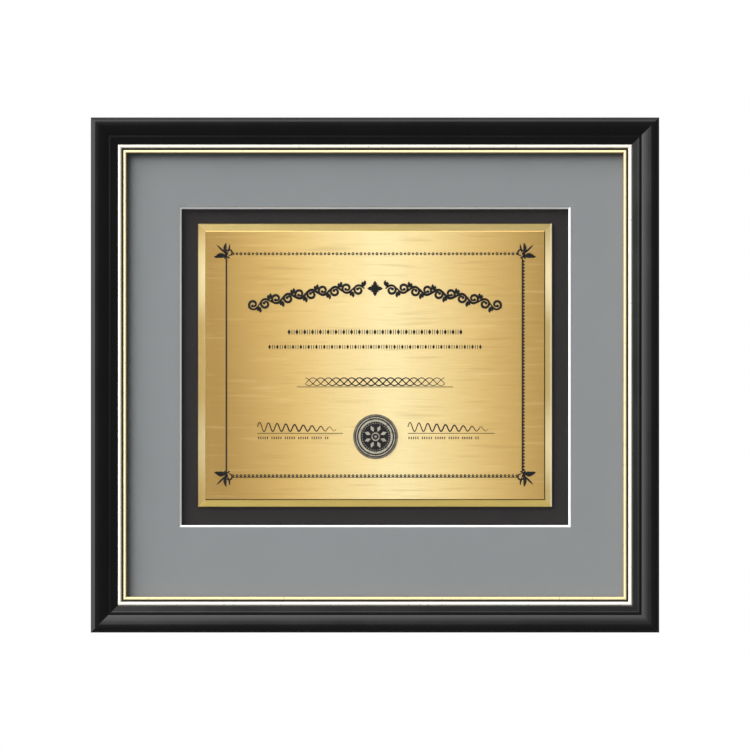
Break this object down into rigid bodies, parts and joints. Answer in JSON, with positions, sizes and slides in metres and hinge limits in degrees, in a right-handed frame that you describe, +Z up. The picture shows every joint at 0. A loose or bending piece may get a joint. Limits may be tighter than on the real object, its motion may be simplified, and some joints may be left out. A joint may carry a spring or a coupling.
{
  "type": "certificate frame",
  "caption": "Black and gold wall frame, glazed, with a raised grey bevelled mat and a gold certificate plate on a black board; turn buttons hold its back and D-rings hang it.",
  "frame": {"origin": "middle of the frame, on the face of the wall that it hangs against", "axes": "+X to the right as seen from the front, +Y back into the wall, +Z up; the front faces -Y"},
  "size_m": [0.4064, 0.0292, 0.3682],
  "materials": {
    "black_lacquer": "satin black lacquer over a wooden moulding, bare wood behind",
    "gilding": "bright gold leaf on a wooden slip, groove toned dark",
    "hardened_steel": "bare hardened steel",
    "picture_glass": "clear picture glass with ground edges",
    "grey_mat_paper": "flat mid-grey facing paper",
    "white_mat_core": "white solid core",
    "foam_board": "white foam board",
    "black_mount_board": "flat black mount board",
    "gold_plate_border": "satin gold, sloping borders",
    "gold_plate_face": "gold brushed from side to side, black filled ornament",
    "foam_tape": "double-sided foam tape",
    "backing_board": "black-faced foam board",
    "zinc_steel": "zinc plated sheet steel",
    "zinc_screws": "zinc plated",
    "nickel_steel": "nickel plated sheet steel",
    "nickel_wire": "nickel plated wire",
    "bumper_rubber": "soft dark rubber"
  },
  "bodies": {
    "frame": {"moulding_top": "black_lacquer", "moulding_bottom": "black_lacquer", "moulding_left": "black_lacquer", "moulding_right": "black_lacquer", "gilt_slip_top": "gilding", "gilt_slip_bottom": "gilding", "gilt_slip_left": "gilding", "gilt_slip_right": "gilding", "corner_v_nails": "hardened_steel", "glazing_sheet": "picture_glass", "mat_face_paper": "grey_mat_paper", "mat_core": "white_mat_core", "mat_riser_top": "foam_board", "mat_riser_bottom": "foam_board", "mat_riser_left": "foam_board", "mat_riser_right": "foam_board", "mount_board": "black_mount_board", "plate_base": "gold_plate_border", "face_plate": "gold_plate_face", "plate_tape_strips": "foam_tape", "backing_board": "backing_board", "turn_button_screws": "zinc_screws", "hanger_strap_left": "nickel_steel", "hanger_strap_right": "nickel_steel", "hanger_screws": "zinc_screws", "wall_bumpers": "bumper_rubber"},
    "turn_button_top_left": {"turn_button_top_left": "zinc_steel"},
    "turn_button_top_right": {"turn_button_top_right": "zinc_steel"},
    "turn_button_bottom_left": {"turn_button_bottom_left": "zinc_steel"},
    "turn_button_bottom_right": {"turn_button_bottom_right": "zinc_steel"},
    "turn_button_left": {"turn_button_left": "zinc_steel"},
    "turn_button_right": {"turn_button_right": "zinc_steel"},
    "d_ring_left": {"d_ring_left": "nickel_wire"},
    "d_ring_right": {"d_ring_right": "nickel_wire"}
  },
  "joints": [
    {"name": "turn_button_top_left_turn", "type": "hinge", "parent": "frame", "child": "turn_button_top_left", "pos_m": [-0.095, -0.0038, 0.1778], "axis": [0, 1, 0], "continuous": true},
    {"name": "turn_button_top_right_turn", "type": "hinge", "parent": "frame", "child": "turn_button_top_right", "pos_m": [0.095, -0.0038, 0.1778], "axis": [0, 1, 0], "continuous": true},
    {"name": "turn_button_bottom_left_turn", "type": "hinge", "parent": "frame", "child": "turn_button_bottom_left", "pos_m": [-0.095, -0.0038, -0.1778], "axis": [0, 1, 0], "continuous": true},
    {"name": "turn_button_bottom_right_turn", "type": "hinge", "parent": "frame", "child": "turn_button_bottom_right", "pos_m": [0.095, -0.0038, -0.1778], "axis": [0, 1, 0], "continuous": true},
    {"name": "turn_button_left_turn", "type": "hinge", "parent": "frame", "child": "turn_button_left", "pos_m": [-0.19685, -0.0038, 0], "axis": [0, 1, 0], "continuous": true},
    {"name": "turn_button_right_turn", "type": "hinge", "parent": "frame", "child": "turn_button_right", "pos_m": [0.19685, -0.0038, 0], "axis": [0, 1, 0], "continuous": true},
    {"name": "d_ring_left_swing", "type": "hinge", "parent": "frame", "child": "d_ring_left", "pos_m": [-0.196, -0.00183, 0.07415], "axis": [1, 0, 0], "range_deg": [0, 180]},
    {"name": "d_ring_right_swing", "type": "hinge", "parent": "frame", "child": "d_ring_right", "pos_m": [0.196, -0.00183, 0.07415], "axis": [1, 0, 0], "range_deg": [0, 180]}
  ]
}
